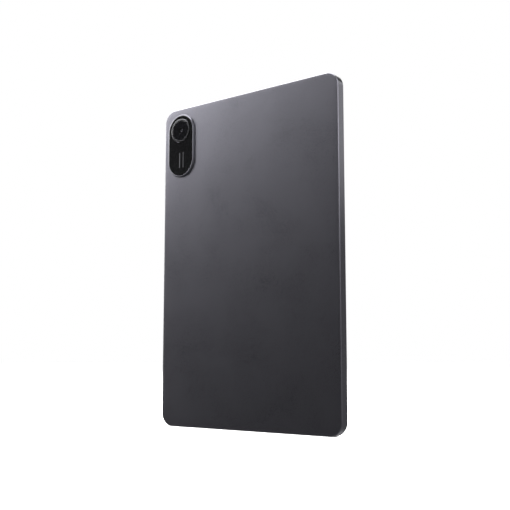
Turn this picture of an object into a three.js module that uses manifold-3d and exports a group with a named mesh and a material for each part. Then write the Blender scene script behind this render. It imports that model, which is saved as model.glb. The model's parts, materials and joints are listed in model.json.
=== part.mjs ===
// An 11-inch tablet computer, upright in portrait on its bottom edge, as an assembly of its real pieces.
//
// Millimetres. +X is to the right as seen from the screen side, +Z is up, and +Y runs from the screen to the back.
// Inside the group, y is the depth behind the front of the cover glass, and the group is then moved so that the
// origin is the middle of the bounding box's bottom face.

import * as THREE from "three";
import { mergeVertices } from "three/addons/utils/BufferGeometryUtils.js";
import Module from "manifold-3d";

// ---- Driving dimensions ----

const WIDTH = 166.0;
const HEIGHT = 254.6;
const THICKNESS = 7.36;
const CORNER_RADIUS = 10.0;
const SIDE_WALL = 1.6;
const BACK_WALL = 0.8;
const EDGE_ROLL = 1.0; // how far in from the side the flat back starts to roll off
const EDGE_DROP = 0.55; // how far the back has dropped where it meets the side
const FEATURE_DEPTH = 4.2; // depth of the middle of every key, slot and port in the side walls

const FRAME_GAP = 0.1; // between the shell and the frame round the glass
const FRAME_WIDTH = 1.0;
const FRAME_STEP = 0.8; // how far the shell's front rim is cut back for that frame
const LEDGE_WIDTH = 1.8;
const GLASS_GAP = 0.15; // between the cover glass and the frame round it
const GLASS_EDGE = 0.2; // the bevel round the cover glass
const TAPE_MARGIN = 0.2; // the display tape stays this far inside its ledge

const ISLAND_WIDTH = 27.7;
const ISLAND_LENGTH = 52.0;
const ISLAND_FROM_SIDE = 18.35; // from the long side to the lens axis
const ISLAND_FROM_TOP = 30.9; // from the top edge to the island's middle
const ISLAND_HEIGHT = 1.5;
const ISLAND_RIM = 1.15;
const ISLAND_ROUNDING = 0.5;
const ISLAND_SEAT = 0.86; // how far above the back the island's glass lies on its rim
const ISLAND_WINDOW = 3.0; // how far in from the island's outline the shell is cut open behind it
const SKIRT_WIDTH = 1.0; // the collar that reaches through that opening
const LENS_RING_RADIUS = 9.6;
const LENS_RING_HEIGHT = 0.65;
const LENS_RING_BORE = 6.5;
const LENS_RAISED = 0.2; // how far the lens sits above the centre of the island's round top end
const WINDOW_RADIUS = 8.2;

const KEY_PROUD = 0.45; // how far the keys stand out of the side
const KEY_WIDTH = 2.2;
const KEY_CLEARANCE = 0.2;
const FLANGE_WIDTH = 2.3;
const KEY_EDGE = 0.25; // the bevel round the keys' caps
const FLANGE_REACH = 1.5; // how far a key's flange runs past each end of its cap

const USB_CLEARANCE = 0.18;
const MIC_HOLE_RADIUS = 0.45;
const PIN_HOLE_RADIUS = 0.45;
const SCREW_HOLE_RADIUS = 0.75;
const BOSS_RADIUS = 3.1;
const PLATE_HOLE_RADIUS = 0.85;
const FRONT_CAMERA_HOLE_RADIUS = 2.1;

const PAST = 1; // how far a cutter runs past the piece it cuts
const SEAT_GAP = 0.04; // between a piece and what it lies on
const ARC_STEPS = 4; // curveSegments: three.js draws an arc with twice as many

// Depths of the layers behind the front of the glass, from and to.
const GLASS = [0, 0.7];
const DISPLAY_TAPE = [0.715, 0.785];
const LEDGE = [0.8, 1.25];
const LCD = [0.82, 1.52];
const BACKLIGHT = [1.56, 2.5];
const MID_PLATE = [2.58, 2.94];
const FLEX = [3.0, 3.12];
const CELLS = [3.2, 6.42];
const SPEAKER = [3.3, 6.3];
const CAN = [4.0, 5.36];
const BOARD = [5.4, 6.2];
const GRAPHITE = [6.3, 6.42];
const CELL_TAPE = [6.45, 6.54];
const BAY_FRONT = MID_PLATE[1] + 0.06; // what stands behind the mid plate starts here
const BAY_BACK = THICKNESS - BACK_WALL;

// ---- Places that several pieces share ----

const MIDDLE_Z = HEIGHT / 2;
const SIDE_X = WIDTH / 2;
const WALL_X = SIDE_X - SIDE_WALL; // the inner face of a long wall
const WALL_TOP_Z = HEIGHT - SIDE_WALL; // the inner face of the top wall
const LENS_X = SIDE_X - ISLAND_FROM_SIDE;
const ISLAND_Z = HEIGHT - ISLAND_FROM_TOP;
const LENS_Z = ISLAND_Z + (ISLAND_LENGTH - ISLAND_WIDTH) / 2 + LENS_RAISED;
const ISLAND_TOP = THICKNESS + ISLAND_HEIGHT;
const ISLAND_FLOOR = THICKNESS + ISLAND_SEAT;
const LENS_RING_TOP = ISLAND_TOP + LENS_RING_HEIGHT;

const SCREW_X = SIDE_X - 4.5;
const SCREW_ZS = [20, 110, 198];
const SCREW_HOLE_END = BAY_BACK - 1.1;
const SPEAKER_X = 38;
const POWER_X = 61;
const POWER_LENGTH = 11.2;
const VOLUME_Z = 216;
const VOLUME_LENGTH = 22;
const SWITCH_OFFSET = 9; // from the rocker's middle to each of its two switches
const TRAY_Z = 46;
const TRAY_LENGTH = 18.2;
const PIN_Z = TRAY_Z + 7.9; // the eject pin's hole in the tray's cap
const FRONT_CAMERA = { x: 78.9, z: MIDDLE_Z };
const MIC_TOP_X = 10.75;
const MIC_BOTTOM_X = -12.75;
const USB_SHELL = { width: 8.94, height: 3.14, wall: 0.3 };

// ---- Solids ----

const wasm = await Module();
wasm.setup();

// A closed three.js geometry as a manifold-3d solid.
function solid(geometry) {
  const bare = geometry.clone();
  bare.deleteAttribute("normal");
  bare.deleteAttribute("uv");
  const merged = mergeVertices(bare, 1e-4);
  return new wasm.Manifold(
    new wasm.Mesh({
      numProp: 3,
      vertProperties: merged.attributes.position.array,
      triVerts: new Uint32Array(merged.index.array),
    }),
  );
}

// A manifold-3d solid as a three.js geometry.
function geometryOf(made) {
  const mesh = made.getMesh();
  const geometry = new THREE.BufferGeometry();
  geometry.setAttribute("position", new THREE.BufferAttribute(mesh.vertProperties, 3));
  geometry.setIndex(new THREE.BufferAttribute(mesh.triVerts, 1));
  geometry.computeVertexNormals();
  return geometry;
}

const joined = (...geometries) =>
  geometryOf(geometries.map(solid).reduce((all, next) => all.add(next)));
const without = (geometry, ...cutters) =>
  geometryOf(cutters.map(solid).reduce((rest, cutter) => rest.subtract(cutter), solid(geometry)));
const common = (a, b) => geometryOf(solid(a).intersect(solid(b)));

// ---- Outlines, as three.js shapes ----

function roundedRectangle(width, height, radius, x = 0, y = MIDDLE_Z) {
  const dx = width / 2 - radius;
  const dy = height / 2 - radius;
  const quarter = Math.PI / 2;
  return new THREE.Shape()
    .absarc(x + dx, y - dy, radius, -quarter, 0)
    .absarc(x + dx, y + dy, radius, 0, quarter)
    .absarc(x - dx, y + dy, radius, quarter, 2 * quarter)
    .absarc(x - dx, y - dy, radius, 2 * quarter, 3 * quarter);
}

// A capsule that is long along the outline's second axis, or along its first one.
function capsule(length, width, x, y, lengthwise = "second") {
  const r = width / 2;
  const d = length / 2 - r;
  if (lengthwise === "first") {
    return new THREE.Shape()
      .absarc(x + d, y, r, -Math.PI / 2, Math.PI / 2)
      .absarc(x - d, y, r, Math.PI / 2, (3 * Math.PI) / 2);
  }
  return new THREE.Shape().absarc(x, y + d, r, 0, Math.PI).absarc(x, y - d, r, Math.PI, 2 * Math.PI);
}

// The camera island's outline, drawn in by an inset.
const island = (inset) =>
  capsule(ISLAND_LENGTH - 2 * inset, ISLAND_WIDTH - 2 * inset, LENS_X, ISLAND_Z);

const polygon = (...corners) => new THREE.Shape(corners.map(([x, y]) => new THREE.Vector2(x, y)));

// The outline of a thin strip that follows a line of points, half its thickness to each side.
function strip(points, thickness) {
  const line = points.map(([x, y]) => new THREE.Vector2(x, y));
  const sides = line.map((point, i) => {
    const before = line[Math.max(i - 1, 0)];
    const after = line[Math.min(i + 1, line.length - 1)];
    const along = after.clone().sub(before).normalize();
    return new THREE.Vector2(-along.y, along.x).multiplyScalar(thickness / 2);
  });
  const left = line.map((point, i) => point.clone().add(sides[i]));
  const right = line.map((point, i) => point.clone().sub(sides[i]));
  return new THREE.Shape([...right, ...left.reverse()]);
}

// ---- Bodies made from outlines ----

const UNIT = { x: new THREE.Vector3(1, 0, 0), y: new THREE.Vector3(0, 1, 0), z: new THREE.Vector3(0, 0, 1) };

// An outline drawn in (y, z), (x, z) or (x, y), extruded along the axis that is left.
function extruded(outline, axis, from, to, options = {}) {
  const bevel = options.bevelThickness ?? 0;
  const geometry = new THREE.ExtrudeGeometry(outline, {
    depth: to - from - 2 * bevel,
    bevelEnabled: bevel > 0,
    curveSegments: ARC_STEPS,
    ...options,
  });
  geometry.translate(0, 0, bevel);
  if (axis === "x") {
    geometry.applyMatrix4(new THREE.Matrix4().makeBasis(UNIT.y, UNIT.z, UNIT.x));
    return geometry.translate(from, 0, 0);
  }
  if (axis === "y") {
    geometry.applyMatrix4(new THREE.Matrix4().makeBasis(UNIT.x, UNIT.z, UNIT.y.clone().negate()));
    return geometry.translate(0, to, 0);
  }
  return geometry.translate(0, 0, from);
}

// An outline in (x, z) between two depths.
const layer = (outline, [from, to], options) => extruded(outline, "y", from, to, options);

// A bevel that keeps the outline as the body's largest section.
const bevelled = (size, thickness, segments) => ({
  bevelSize: size,
  bevelOffset: -size,
  bevelThickness: thickness,
  bevelSegments: segments,
});

// A box from its lowest and highest x, depth and z.
function block([x0, x1], [y0, y1], [z0, z1]) {
  return new THREE.BoxGeometry(x1 - x0, y1 - y0, z1 - z0).translate(
    (x0 + x1) / 2,
    (y0 + y1) / 2,
    (z0 + z1) / 2,
  );
}

// A cylinder along the depth, or along x or z where a wall is drilled.
function cylinder(radius, axis, from, to, [a, b], sides = 16) {
  const geometry = new THREE.CylinderGeometry(radius, radius, to - from, sides);
  const middle = (from + to) / 2;
  if (axis === "x") return geometry.rotateZ(Math.PI / 2).translate(middle, a, b);
  if (axis === "z") return geometry.rotateX(Math.PI / 2).translate(a, b, middle);
  return geometry.translate(a, middle, b);
}

// A turned piece on an axis along the depth, from a profile of (radius, depth).
function turned(profile, x, z, sides = 32) {
  const points = profile.map(([radius, depth]) => new THREE.Vector2(radius, depth));
  return new THREE.LatheGeometry(points, sides).translate(x, 0, z);
}

const around = (middle, length) => [middle - length / 2, middle + length / 2];

// ---- The assembly ----

const tablet = new THREE.Group();
tablet.position.y = -LENS_RING_TOP / 2;

const FINISHES = {
  anodised: { color: 0x6e6d76, roughness: 0.42, metalness: 0.9 },
  polished: { color: 0x8f8e97, roughness: 0.2, metalness: 1.0 },
  blackMetal: { color: 0x131316, roughness: 0.25, metalness: 0.8 },
  blackGlass: { color: 0x0b0b0d, roughness: 0.06, metalness: 0.0 },
  clearGlass: { color: 0x14171c, roughness: 0.03, metalness: 0.0 },
  blackPlastic: { color: 0x1a1a1c, roughness: 0.55, metalness: 0.0 },
  magnesium: { color: 0x9a9ca0, roughness: 0.5, metalness: 0.9 },
  steel: { color: 0xb9bbbf, roughness: 0.3, metalness: 1.0 },
  board: { color: 0x12352a, roughness: 0.5, metalness: 0.1 },
  chip: { color: 0x202124, roughness: 0.4, metalness: 0.1 },
  pouch: { color: 0x2a2c30, roughness: 0.35, metalness: 0.5 },
  flex: { color: 0x8a5a1c, roughness: 0.45, metalness: 0.2 },
  tape: { color: 0x2b2b2e, roughness: 0.9, metalness: 0.0 },
  graphite: { color: 0x3a3b3e, roughness: 0.6, metalness: 0.4 },
  panel: { color: 0x08090b, roughness: 0.15, metalness: 0.0 },
  mesh: { color: 0x26272a, roughness: 0.7, metalness: 0.6 },
};

function add(name, geometry, finish) {
  const mesh = new THREE.Mesh(geometry, new THREE.MeshStandardMaterial(FINISHES[finish]));
  mesh.name = name;
  tablet.add(mesh);
}

// ---- Unibody shell: back and sides machined from one piece ----

const bodyOutline = (inset) =>
  roundedRectangle(WIDTH - 2 * inset, HEIGHT - 2 * inset, CORNER_RADIUS - inset);

const GRILLE = { slots: 6, length: 2.6, width: 1.2, pitch: 3.7 };
const BOTTOM_WALL = [-PAST, SIDE_WALL + PAST];
const TOP_WALL = [WALL_TOP_Z - PAST, HEIGHT + PAST];
const RIGHT_WALL = [WALL_X - PAST, SIDE_X + PAST];

function speakerSlots() {
  const first = (-(GRILLE.slots - 1) / 2) * GRILLE.pitch;
  const slots = [];
  for (const side of [-1, 1]) {
    for (const wall of [BOTTOM_WALL, TOP_WALL]) {
      for (let i = 0; i < GRILLE.slots; i++) {
        const x = side * SPEAKER_X + first + i * GRILLE.pitch;
        const outline = capsule(GRILLE.length, GRILLE.width, x, FEATURE_DEPTH, "first");
        slots.push(extruded(outline, "z", ...wall, { curveSegments: 2 }));
      }
    }
  }
  return slots;
}

function unibodyShell() {
  const backEdge = bevelled(EDGE_ROLL, EDGE_DROP, 4);
  const rolled = layer(bodyOutline(0), [-EDGE_DROP - PAST, THICKNESS], backEdge);
  const outer = common(rolled, layer(bodyOutline(-PAST), [0, THICKNESS + PAST]));
  const pocket = layer(bodyOutline(SIDE_WALL), [-PAST, BAY_BACK]);
  const frameSeat = layer(bodyOutline(FRAME_STEP), [-PAST, LEDGE[1] + SEAT_GAP]);
  const bosses = [];
  const screwHoles = [];
  for (const side of [-1, 1]) {
    for (const z of SCREW_ZS) {
      const at = [side * SCREW_X, z];
      bosses.push(cylinder(BOSS_RADIUS, "y", BAY_FRONT, BAY_BACK + BACK_WALL / 2, at));
      screwHoles.push(cylinder(SCREW_HOLE_RADIUS, "y", BAY_FRONT - PAST, SCREW_HOLE_END, at, 12));
    }
  }
  const walled = joined(without(outer, pocket, frameSeat), ...bosses);

  const d = FEATURE_DEPTH;
  const slot = KEY_WIDTH + 2 * KEY_CLEARANCE;
  const usbWidth = USB_SHELL.width + 2 * USB_CLEARANCE;
  const usb = capsule(usbWidth, USB_SHELL.height + 2 * USB_CLEARANCE, 0, d, "first");
  const power = capsule(POWER_LENGTH + 2 * KEY_CLEARANCE, slot, POWER_X, d, "first");
  const volume = capsule(VOLUME_LENGTH + 2 * KEY_CLEARANCE, slot, d, VOLUME_Z);
  const tray = capsule(TRAY_LENGTH + 2 * KEY_CLEARANCE, slot, d, TRAY_Z);
  return without(
    walled,
    ...screwHoles,
    ...speakerSlots(),
    extruded(usb, "z", ...BOTTOM_WALL),
    extruded(power, "z", ...TOP_WALL),
    extruded(volume, "x", ...RIGHT_WALL),
    extruded(tray, "x", ...RIGHT_WALL),
    layer(island(ISLAND_WINDOW), [BAY_BACK - PAST, THICKNESS + PAST]),
    cylinder(MIC_HOLE_RADIUS, "z", ...TOP_WALL, [MIC_TOP_X, d], 12),
    cylinder(MIC_HOLE_RADIUS, "z", ...BOTTOM_WALL, [MIC_BOTTOM_X, d], 12),
  );
}

add("unibody_shell", unibodyShell(), "anodised");

// ---- Display: frame, tape, cover glass, LCD, backlight and its flex ----

const frameInset = FRAME_STEP + FRAME_GAP;
const glassInset = frameInset + FRAME_WIDTH;
const ledgeInset = glassInset + LEDGE_WIDTH;
const frontCameraAt = [FRONT_CAMERA.x, FRONT_CAMERA.z];
add(
  "display_frame",
  without(
    layer(bodyOutline(frameInset), [0, LEDGE[1]]),
    layer(bodyOutline(glassInset), [-PAST, LEDGE[0]]),
    layer(bodyOutline(ledgeInset), [-PAST, LEDGE[1] + PAST]),
    cylinder(FRONT_CAMERA_HOLE_RADIUS, "y", -PAST, LEDGE[1] + PAST, frontCameraAt),
  ),
  "blackPlastic",
);
add(
  "display_tape",
  without(
    layer(bodyOutline(glassInset + TAPE_MARGIN), DISPLAY_TAPE),
    layer(bodyOutline(ledgeInset - TAPE_MARGIN), [0, PAST]),
    cylinder(FRONT_CAMERA_HOLE_RADIUS + TAPE_MARGIN, "y", 0, PAST, frontCameraAt),
  ),
  "tape",
);
const glassEdge = bevelled(GLASS_EDGE, GLASS_EDGE, 2);
add("cover_glass", layer(bodyOutline(glassInset + GLASS_GAP), GLASS, glassEdge), "clearGlass");

const PANEL_WIDTH = 151.4;
const PANEL_Z = [7.5, 248.6]; // its top edge runs past the backlight, for the flex
const BACKLIGHT_SIZE = { width: 152, height: 240.6, radius: 1.5 };
const backlightOutline = roundedRectangle(
  BACKLIGHT_SIZE.width,
  BACKLIGHT_SIZE.height,
  BACKLIGHT_SIZE.radius,
);
add("lcd_panel", block(around(0, PANEL_WIDTH), LCD, PANEL_Z), "panel");
add("backlight_unit", layer(backlightOutline, BACKLIGHT), "steel");

// The flex's route as (depth, z): from the panel's top edge, round the backlight, to the main board.
const FLEX_THICKNESS = 0.12;
const DISPLAY_FLEX_WIDTH = 24;
const displayFlexRoute = [
  [1.62, 248.3],
  [1.68, 249.5],
  [2.1, 250.3],
  [2.66, 249.6],
  [2.76, 244],
  [3.2, 240],
  [3.8, 237],
  [3.8, 232.5],
];
const displayFlex = strip(displayFlexRoute, FLEX_THICKNESS);
add("display_flex", extruded(displayFlex, "x", ...around(0, DISPLAY_FLEX_WIDTH)), "flex");

// ---- Mid plate and its screws ----

const throughPlate = [MID_PLATE[0] - PAST, MID_PLATE[1] + PAST];
const PLATE_GAP = 0.5; // between the plate and the walls
const USB_NOTCH = { width: 12, top: 11.5 };
const FLEX_NOTCH = { width: DISPLAY_FLEX_WIDTH + 4, bottom: 231 };
const CAMERA_NOTCH = { inner: 76.2, height: 8 };
const plateHoles = [];
for (const side of [-1, 1]) {
  for (const z of SCREW_ZS) {
    plateHoles.push(cylinder(PLATE_HOLE_RADIUS, "y", ...throughPlate, [side * SCREW_X, z], 12));
  }
}
add(
  "mid_plate",
  without(
    layer(bodyOutline(SIDE_WALL + PLATE_GAP), MID_PLATE),
    ...plateHoles,
    block(around(0, USB_NOTCH.width), throughPlate, [0, USB_NOTCH.top]),
    block(around(0, FLEX_NOTCH.width), throughPlate, [FLEX_NOTCH.bottom, HEIGHT]),
    block([CAMERA_NOTCH.inner, SIDE_X], throughPlate, around(FRONT_CAMERA.z, CAMERA_NOTCH.height)),
  ),
  "magnesium",
);

// A pan-head screw with a small recess, its head on the mid plate.
const SCREW = { head: 1.35, rounding: 0.25, recess: 0.55, recessFloor: 0.4, shank: 0.6, tip: 0.35 };
const SCREW_HEAD = MID_PLATE[0] - SEAT_GAP;
const SCREW_HEAD_HEIGHT = 0.36;
const SCREW_RECESS_FLOOR = 0.16;
const SCREW_TIP = 5.0;
const screwProfile = [
  [0, SCREW_HEAD - SCREW_RECESS_FLOOR],
  [SCREW.recessFloor, SCREW_HEAD - SCREW_RECESS_FLOOR],
  [SCREW.recess, SCREW_HEAD - SCREW_HEAD_HEIGHT],
  [SCREW.head - SCREW.rounding, SCREW_HEAD - SCREW_HEAD_HEIGHT],
  [SCREW.head, SCREW_HEAD - SCREW_RECESS_FLOOR],
  [SCREW.head, SCREW_HEAD],
  [SCREW.shank, SCREW_HEAD],
  [SCREW.shank, SCREW_TIP - (SCREW.shank - SCREW.tip)],
  [SCREW.tip, SCREW_TIP],
  [0, SCREW_TIP],
];
let screwNumber = 0;
for (const side of [-1, 1]) {
  for (const z of SCREW_ZS) {
    screwNumber += 1;
    add(`plate_screw_${screwNumber}`, turned(screwProfile, side * SCREW_X, z, 16), "steel");
  }
}

// ---- Battery: two pouch cells, their tapes and the protection board ----

const CELL = { width: 66, height: 135, radius: 2.5, edge: 0.6, x: 36, z: 131.5 };
const CELL_TAPE_SIZE = { width: 50, height: 120, radius: 1 };
const BATTERY_BOARD = { width: 124, depth: [5.0, 6.0], z: [200.2, 204.6] };
for (const [name, side] of [["left", -1], ["right", 1]]) {
  const x = side * CELL.x;
  const tape = CELL_TAPE_SIZE;
  const cellOutline = roundedRectangle(CELL.width, CELL.height, CELL.radius, x, CELL.z);
  const tapeOutline = roundedRectangle(tape.width, tape.height, tape.radius, x, CELL.z);
  add(`battery_cell_${name}`, layer(cellOutline, CELLS, bevelled(CELL.edge, CELL.edge, 2)), "pouch");
  add(`battery_tape_${name}`, layer(tapeOutline, CELL_TAPE), "tape");
}
add("battery_board", block(around(0, BATTERY_BOARD.width), BATTERY_BOARD.depth, BATTERY_BOARD.z), "board");

// ---- Main board with its chips, shield cans, heat spreader and flex ----

// A T-shaped outline: a bar with a stem that rises from it round the middle.
function boardOutline([left, right], [bottom, shoulder, top], stem) {
  return polygon(
    [left, bottom],
    [right, bottom],
    [right, shoulder],
    [stem, shoulder],
    [stem, top],
    [-stem, top],
    [-stem, shoulder],
    [left, shoulder],
  );
}
const BOARD_X = [-73, 55];
const BOARD_ZS = [206, 223.5, 251];
const BOARD_STEM = 19;
add("main_board", layer(boardOutline(BOARD_X, BOARD_ZS, BOARD_STEM), BOARD), "board");

// A lid of thin sheet, open towards the board.
const CAN_SHEET = 0.2;
const CAN_RADIUS = 1;
const CAN_Z = [207.5, 222];
function shieldCan([x0, x1]) {
  const [z0, z1] = CAN_Z;
  const middle = [(x0 + x1) / 2, (z0 + z1) / 2];
  const outline = (inset) =>
    roundedRectangle(x1 - x0 - 2 * inset, z1 - z0 - 2 * inset, CAN_RADIUS - inset, ...middle);
  return without(layer(outline(0), CAN), layer(outline(CAN_SHEET), [CAN[0] + CAN_SHEET, CAN[1] + PAST]));
}
const CHIP_BACK = BOARD[0] - 0.06;
const PROCESSOR = { x: [-61, -47.4], front: 4.4, z: [208, 221.6] };
const MEMORY = { x: [-41, -29], front: 4.5, z: [209.2, 220.4] };
add("main_shield_can", shieldCan([-66, -24]), "steel");
add("rf_shield_can", shieldCan([14, 50]), "steel");
add("processor", block(PROCESSOR.x, [PROCESSOR.front, CHIP_BACK], PROCESSOR.z), "chip");
add("memory_chip", block(MEMORY.x, [MEMORY.front, CHIP_BACK], MEMORY.z), "chip");

// The heat spreader lies behind the board, a little inside its outline.
const GRAPHITE_X = [-71, 53];
const GRAPHITE_ZS = [207, 222, 246];
const GRAPHITE_STEM = 17;
add("graphite_sheet", layer(boardOutline(GRAPHITE_X, GRAPHITE_ZS, GRAPHITE_STEM), GRAPHITE), "graphite");

// The flex between the two boards as (depth, z): up from the USB board, in front of the cells, to the main board.
const MAIN_FLEX_WIDTH = 14;
const mainFlexDepth = (FLEX[0] + FLEX[1]) / 2;
const mainFlexRoute = [
  [5.2, 30],
  [5.2, 34],
  [4.2, 38],
  [mainFlexDepth, 44],
  [mainFlexDepth, 200],
  [4.2, 204.5],
  [5.2, 208.5],
  [5.2, 213],
];
const mainFlex = strip(mainFlexRoute, FLEX_THICKNESS);
add("main_flex", extruded(mainFlex, "x", ...around(0, MAIN_FLEX_WIDTH)), "flex");

// ---- USB board, its USB-C receptacle and the microphones ----

// The board as (x, z): a foot at the bottom edge, cut out for the receptacle, and a pad behind the reader.
const usbBoardOutline = polygon(
  [-20, 2.4],
  [-5.4, 2.4],
  [-5.4, 9.6],
  [5.4, 9.6],
  [5.4, 2.4],
  [20, 2.4],
  [20, 26],
  [79, 26],
  [79, 60],
  [57, 60],
  [57, 36],
  [-20, 36],
);
add("usb_board", layer(usbBoardOutline, BOARD), "board");

const USB_Z = [0.4, 7.9];
const USB_BACK_WALL = 0.5;
const TONGUE = { width: 6.6, thickness: 0.7, tip: 1.2 };
const usbOutline = (inset) =>
  capsule(USB_SHELL.width - 2 * inset, USB_SHELL.height - 2 * inset, 0, FEATURE_DEPTH, "first");
const usbFloor = USB_Z[1] - USB_BACK_WALL;
add(
  "usb_c_shell",
  without(
    extruded(usbOutline(0), "z", ...USB_Z),
    extruded(usbOutline(USB_SHELL.wall), "z", -PAST, usbFloor),
  ),
  "steel",
);
const tongueDepth = around(FEATURE_DEPTH, TONGUE.thickness);
add(
  "usb_c_tongue",
  block(around(0, TONGUE.width), tongueDepth, [TONGUE.tip, usbFloor - SEAT_GAP]),
  "blackPlastic",
);

const MIC = { width: 3.5, depth: [4.2, 5.3], height: 2.8, fromEdge: 3.5 };
const microphone = (x, z) => block(around(x, MIC.width), MIC.depth, around(z, MIC.height));
add("microphone_top", microphone(MIC_TOP_X, HEIGHT - MIC.fromEdge), "steel");
add("microphone_bottom", microphone(MIC_BOTTOM_X, MIC.fromEdge), "steel");

const ANTENNA = { x: [-72, -57], depth: [3.3, 4.2], z: [244, 251] };
add("wifi_antenna", block(ANTENNA.x, ANTENNA.depth, ANTENNA.z), "flex");

// ---- Four speakers, each behind its own dust mesh ----

const SPEAKER_BOX = { width: 30, height: 20.8, radius: 1.5 };
const SURROUND = { width: 19, height: 12, raised: 0.22 };
const CONE = { width: 16, height: 9, raised: 0.1 };

function speaker(x, z) {
  const boxOutline = roundedRectangle(SPEAKER_BOX.width, SPEAKER_BOX.height, SPEAKER_BOX.radius, x, z);
  const surroundOutline = capsule(SURROUND.width, SURROUND.height, x, z, "first");
  const coneOutline = capsule(CONE.width, CONE.height, x, z, "first");
  const front = SPEAKER[0];
  return without(
    joined(layer(boxOutline, SPEAKER), layer(surroundOutline, [front - SURROUND.raised, front + CONE.raised])),
    layer(coneOutline, [front - PAST, front - CONE.raised]),
  );
}
const SPEAKER_EDGE = SIDE_WALL + 0.8; // how far in from the end of the body each speaker starts
const MESH = { length: 23, width: 2, from: 1.85, to: 2.1 };
for (const [name, side] of [["left", -1], ["right", 1]]) {
  const x = side * SPEAKER_X;
  const low = SPEAKER_EDGE + SPEAKER_BOX.height / 2;
  add(`speaker_bottom_${name}`, speaker(x, low), "blackPlastic");
  add(`speaker_top_${name}`, speaker(x, HEIGHT - low), "blackPlastic");
  const meshX = around(x, MESH.length);
  const meshDepth = around(FEATURE_DEPTH, MESH.width);
  add(`speaker_mesh_bottom_${name}`, block(meshX, meshDepth, [MESH.from, MESH.to]), "mesh");
  add(`speaker_mesh_top_${name}`, block(meshX, meshDepth, [HEIGHT - MESH.to, HEIGHT - MESH.from]), "mesh");
}

// ---- Rear camera: module, focusing barrel, island, ring and windows ----

const lensAt = [LENS_X, LENS_Z];
const CAMERA_BASE = { size: 10.4, depth: [3.2, 7.1], bore: 3.5, boreFloor: 4.2 };
add(
  "rear_camera_base",
  without(
    block(around(LENS_X, CAMERA_BASE.size), CAMERA_BASE.depth, around(LENS_Z, CAMERA_BASE.size)),
    cylinder(CAMERA_BASE.bore, "y", CAMERA_BASE.boreFloor, CAMERA_BASE.depth[1] + PAST, lensAt, 24),
  ),
  "blackMetal",
);
const BARREL = { radius: 3.2, mouth: 2.5, throat: 1.95, front: 4.3, top: THICKNESS + 1.25 };
const barrelProfile = [
  [0, BARREL.front],
  [BARREL.radius, BARREL.front],
  [BARREL.radius, BARREL.top],
  [BARREL.mouth, BARREL.top],
  [BARREL.throat, BARREL.top - 0.45],
  [BARREL.throat, BARREL.top - 1],
  [0, BARREL.top - 1],
];
add("rear_camera_barrel", turned(barrelProfile, ...lensAt), "blackMetal");
// The front element, as (radius, how far below the barrel's top).
const elementProfile = [
  [0, 0.95],
  [1.85, 0.95],
  [1.85, 0.6],
  [1.3, 0.38],
  [0.7, 0.28],
  [0, 0.25],
].map(([radius, below]) => [radius, BARREL.top - below]);
add("rear_camera_lens", turned(elementProfile, ...lensAt, 24), "clearGlass");

// The camera's flex as (x, z): an L from below the module to the main board.
const CAMERA_FLEX_DEPTH = [5.0, 5.15];
const cameraFlexTop = LENS_Z - CAMERA_BASE.size / 2 - 0.3;
const cameraFlexOutline = polygon(
  [51, 209],
  [69, 209],
  [69, cameraFlexTop],
  [61, cameraFlexTop],
  [61, 215],
  [51, 215],
);
add("rear_camera_flex", layer(cameraFlexOutline, CAMERA_FLEX_DEPTH), "flex");

const finer = { curveSegments: 10 };
const RIM_HOLE_RADIUS = 6.2;
const ISLAND_GLASS_GAP = 0.15; // between the island's glass and its rim
const RING_GAP = 0.2; // between the lens ring and the glass round it

function islandRim() {
  const edge = bevelled(ISLAND_ROUNDING, ISLAND_ROUNDING, 3);
  const foot = THICKNESS + SEAT_GAP;
  const rounded = layer(island(0), [THICKNESS - PAST, ISLAND_TOP], { ...edge, ...finer });
  const body = common(rounded, layer(island(-PAST), [foot, ISLAND_TOP + PAST], finer));
  const skirtInset = ISLAND_WINDOW + 0.3;
  const skirt = layer(island(skirtInset), [BAY_BACK + 0.1, THICKNESS + 0.4], finer);
  return without(
    joined(body, skirt),
    layer(island(ISLAND_RIM), [ISLAND_FLOOR, ISLAND_TOP + PAST], finer),
    layer(island(skirtInset + SKIRT_WIDTH), [BAY_BACK - PAST, foot], finer),
    cylinder(RIM_HOLE_RADIUS, "y", THICKNESS - PAST, ISLAND_TOP + PAST, lensAt, 32),
  );
}
add("camera_island_rim", islandRim(), "polished");

const islandGlass = [ISLAND_FLOOR + SEAT_GAP, ISLAND_TOP - 0.06];
add(
  "camera_island_glass",
  without(
    layer(island(ISLAND_RIM + ISLAND_GLASS_GAP), islandGlass, finer),
    cylinder(LENS_RING_RADIUS + RING_GAP, "y", THICKNESS, ISLAND_TOP + PAST, lensAt, 48),
  ),
  "blackGlass",
);

// The ring seats on the rim's floor and holds the window in a step at its top.
const WINDOW_GAP = 0.15;
const WINDOW_SEAT = 0.55; // how far the step lies below the ring's top
const ringStep = WINDOW_RADIUS + WINDOW_GAP;
const ringProfile = [
  [LENS_RING_BORE, islandGlass[0]],
  [LENS_RING_RADIUS, islandGlass[0]],
  [LENS_RING_RADIUS, LENS_RING_TOP - 0.4],
  [LENS_RING_RADIUS - 0.5, LENS_RING_TOP],
  [ringStep + 0.25, LENS_RING_TOP],
  [ringStep, LENS_RING_TOP - 0.15],
  [ringStep, LENS_RING_TOP - WINDOW_SEAT],
  [LENS_RING_BORE, LENS_RING_TOP - WINDOW_SEAT],
  [LENS_RING_BORE, islandGlass[0]],
];
add("lens_ring", turned(ringProfile, ...lensAt, 48), "blackMetal");
const windowDepth = [LENS_RING_TOP - WINDOW_SEAT + SEAT_GAP, LENS_RING_TOP - 0.12];
add("lens_window", cylinder(WINDOW_RADIUS, "y", ...windowDepth, lensAt, 48), "clearGlass");

// ---- Front camera and light sensor, under the glass beside the panel ----

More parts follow.
